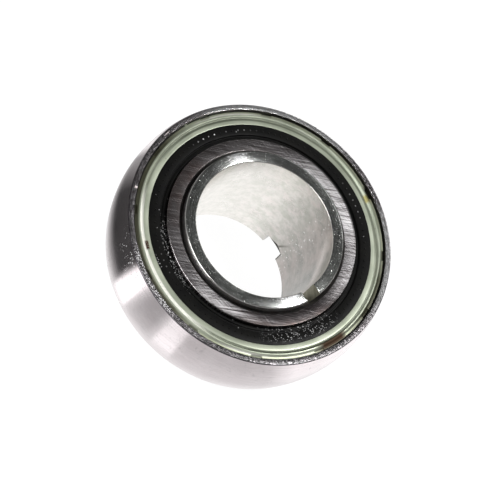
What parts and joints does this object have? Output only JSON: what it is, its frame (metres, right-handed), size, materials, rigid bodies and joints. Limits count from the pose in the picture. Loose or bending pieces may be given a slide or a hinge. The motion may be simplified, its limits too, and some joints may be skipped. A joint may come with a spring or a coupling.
{
  "type": "insert bearing",
  "caption": "Sealed insert ball bearing with a spherical outside and a tapered inner ring, clamped to its shaft by a slit adapter sleeve, tab washer and lock nut.",
  "frame": {"origin": "on the shaft's axis, at the threaded end of the adapter sleeve, which the bearing stands on", "axes": "+Z along the shaft's axis, out of the front face with the sleeve's big end; +X through the middle of the sleeve's slit"},
  "size_m": [0.09, 0.09, 0.044],
  "materials": {
    "outer_ring_steel": "ground and polished bearing steel",
    "inner_ring_steel": "ground bearing steel",
    "ball_steel": "polished bearing steel",
    "cage_polyamide": "moulded natural polyamide, greasy",
    "seal_cover_zinc": "pale sage-green zinc coat, satin",
    "seal_rubber": "black nitrile rubber, slightly greasy",
    "sleeve_steel": "turned and polished steel",
    "washer_steel": "pressed steel",
    "nut_steel": "turned steel, satin"
  },
  "bodies": {
    "outer": {"outer_ring": "outer_ring_steel", "seal_cover_front": "seal_cover_zinc", "seal_rubber_front": "seal_rubber", "seal_cover_back": "seal_cover_zinc", "seal_rubber_back": "seal_rubber"},
    "inner": {"inner_ring": "inner_ring_steel", "lock_washer": "washer_steel"},
    "sleeve": {"adapter_sleeve": "sleeve_steel"},
    "nut": {"lock_nut": "nut_steel"},
    "cage_body": {"cage": "cage_polyamide"},
    "ball_1_body": {"ball_1": "ball_steel"},
    "ball_2_body": {"ball_2": "ball_steel"},
    "ball_3_body": {"ball_3": "ball_steel"},
    "ball_4_body": {"ball_4": "ball_steel"},
    "ball_5_body": {"ball_5": "ball_steel"},
    "ball_6_body": {"ball_6": "ball_steel"},
    "ball_7_body": {"ball_7": "ball_steel"},
    "ball_8_body": {"ball_8": "ball_steel"},
    "ball_9_body": {"ball_9": "ball_steel"},
    "ball_10_body": {"ball_10": "ball_steel"}
  },
  "joints": [
    {"name": "inner_spin", "type": "hinge", "parent": "outer", "child": "inner", "pos_m": [0, 0, 0.0294], "axis": [0, 0, 1], "continuous": true},
    {"name": "cage_spin", "type": "hinge", "parent": "outer", "child": "cage_body", "pos_m": [0, 0, 0.0294], "axis": [0, 0, 1], "continuous": true},
    {"name": "nut_turn", "type": "hinge", "parent": "inner", "child": "nut", "pos_m": [0, 0, 0.01015], "axis": [0, 0, 1], "range_deg": [0, 552]},
    {"name": "sleeve_draw", "type": "slide", "parent": "inner", "child": "sleeve", "axis": [0, 0, 1], "range_m": [-0.0023, 0]},
    {"name": "ball_1_spin", "type": "hinge", "parent": "cage_body", "child": "ball_1_body", "pos_m": [0.035, 0, 0.0294], "axis": [0, 0, 1], "continuous": true},
    {"name": "ball_2_spin", "type": "hinge", "parent": "cage_body", "child": "ball_2_body", "pos_m": [0.02832, 0.02057, 0.0294], "axis": [0, 0, 1], "continuous": true},
    {"name": "ball_3_spin", "type": "hinge", "parent": "cage_body", "child": "ball_3_body", "pos_m": [0.01082, 0.03329, 0.0294], "axis": [0, 0, 1], "continuous": true},
    {"name": "ball_4_spin", "type": "hinge", "parent": "cage_body", "child": "ball_4_body", "pos_m": [-0.01082, 0.03329, 0.0294], "axis": [0, 0, 1], "continuous": true},
    {"name": "ball_5_spin", "type": "hinge", "parent": "cage_body", "child": "ball_5_body", "pos_m": [-0.02832, 0.02057, 0.0294], "axis": [0, 0, 1], "continuous": true},
    {"name": "ball_6_spin", "type": "hinge", "parent": "cage_body", "child": "ball_6_body", "pos_m": [-0.035, 0, 0.0294], "axis": [0, 0, 1], "continuous": true},
    {"name": "ball_7_spin", "type": "hinge", "parent": "cage_body", "child": "ball_7_body", "pos_m": [-0.02832, -0.02057, 0.0294], "axis": [0, 0, 1], "continuous": true},
    {"name": "ball_8_spin", "type": "hinge", "parent": "cage_body", "child": "ball_8_body", "pos_m": [-0.01082, -0.03329, 0.0294], "axis": [0, 0, 1], "continuous": true},
    {"name": "ball_9_spin", "type": "hinge", "parent": "cage_body", "child": "ball_9_body", "pos_m": [0.01082, -0.03329, 0.0294], "axis": [0, 0, 1], "continuous": true},
    {"name": "ball_10_spin", "type": "hinge", "parent": "cage_body", "child": "ball_10_body", "pos_m": [0.02832, -0.02057, 0.0294], "axis": [0, 0, 1], "continuous": true}
  ],
  "couplings": [
    {"joint": "cage_spin", "follows": "inner_spin", "ratio": 0.40929},
    {"joint": "sleeve_draw", "follows": "nut_turn", "m_per_rad": -0.00023873},
    {"joint": "ball_1_spin", "follows": "inner_spin", "ratio": -2.6652},
    {"joint": "ball_2_spin", "follows": "inner_spin", "ratio": -2.6652},
    {"joint": "ball_3_spin", "follows": "inner_spin", "ratio": -2.6652},
    {"joint": "ball_4_spin", "follows": "inner_spin", "ratio": -2.6652},
    {"joint": "ball_5_spin", "follows": "inner_spin", "ratio": -2.6652},
    {"joint": "ball_6_spin", "follows": "inner_spin", "ratio": -2.6652},
    {"joint": "ball_7_spin", "follows": "inner_spin", "ratio": -2.6652},
    {"joint": "ball_8_spin", "follows": "inner_spin", "ratio": -2.6652},
    {"joint": "ball_9_spin", "follows": "inner_spin", "ratio": -2.6652},
    {"joint": "ball_10_spin", "follows": "inner_spin", "ratio": -2.6652}
  ]
}
